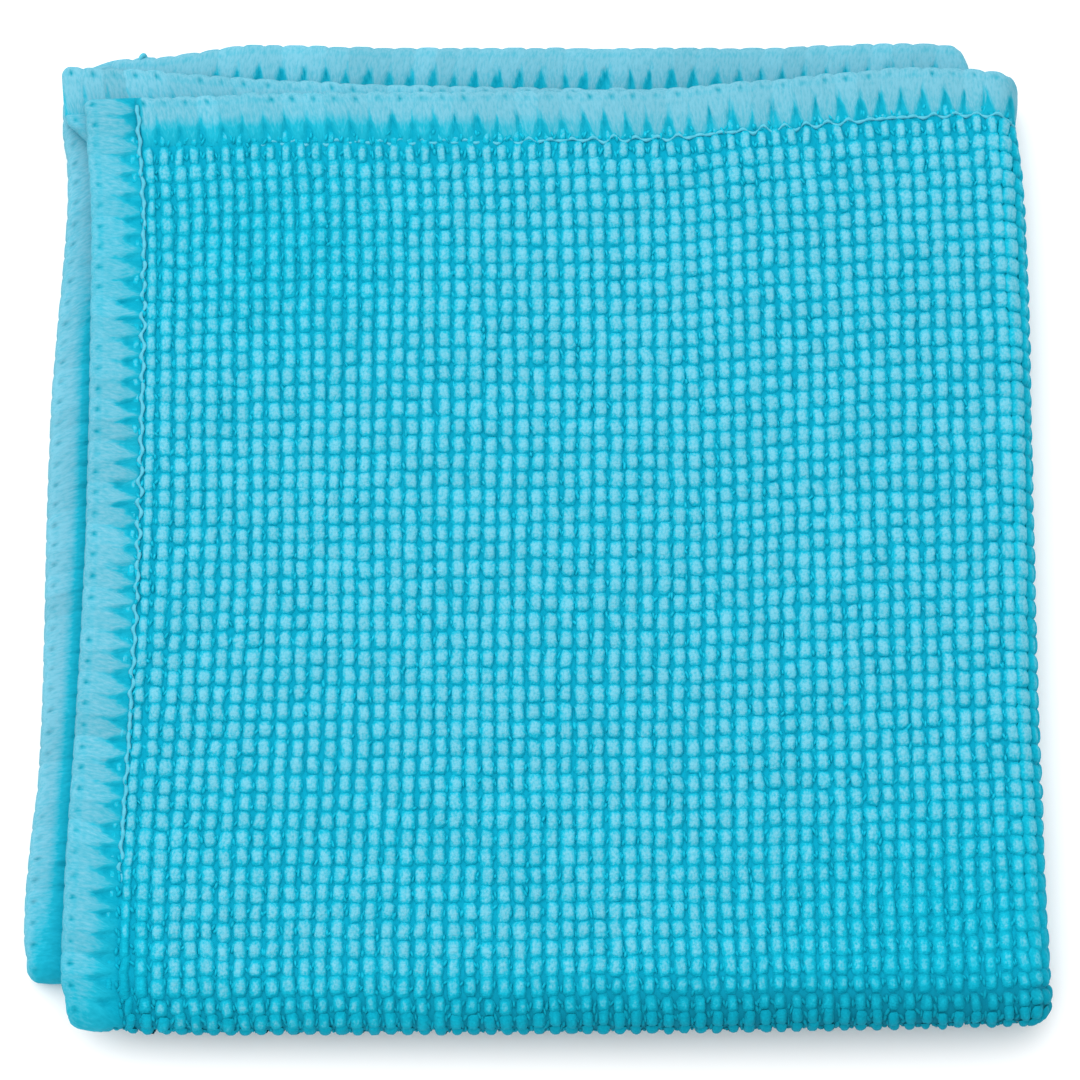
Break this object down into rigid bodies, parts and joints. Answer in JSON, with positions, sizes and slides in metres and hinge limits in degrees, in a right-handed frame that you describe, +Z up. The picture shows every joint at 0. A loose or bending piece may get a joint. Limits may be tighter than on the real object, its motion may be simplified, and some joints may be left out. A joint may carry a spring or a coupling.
{
  "type": "microfibre cloth",
  "caption": "Square turquoise microfibre cloth with a raised pearl knit and a fluffy overlocked hem, folded in quarters and lying flat.",
  "frame": {"origin": "under the middle of the folded cloth's box, on the surface that it lies on", "axes": "+Z up, -Y towards the front fold, +X towards the right fold; the hems are at -X and +Y"},
  "size_m": [0.1652, 0.1706, 0.0134],
  "materials": {
    "pearl_knit": "matt pearl-knit microfibre with a soft sheen on its loops"
  },
  "bodies": {
    "root": {"folded_cloth": "pearl_knit"}
  },
  "joints": []
}
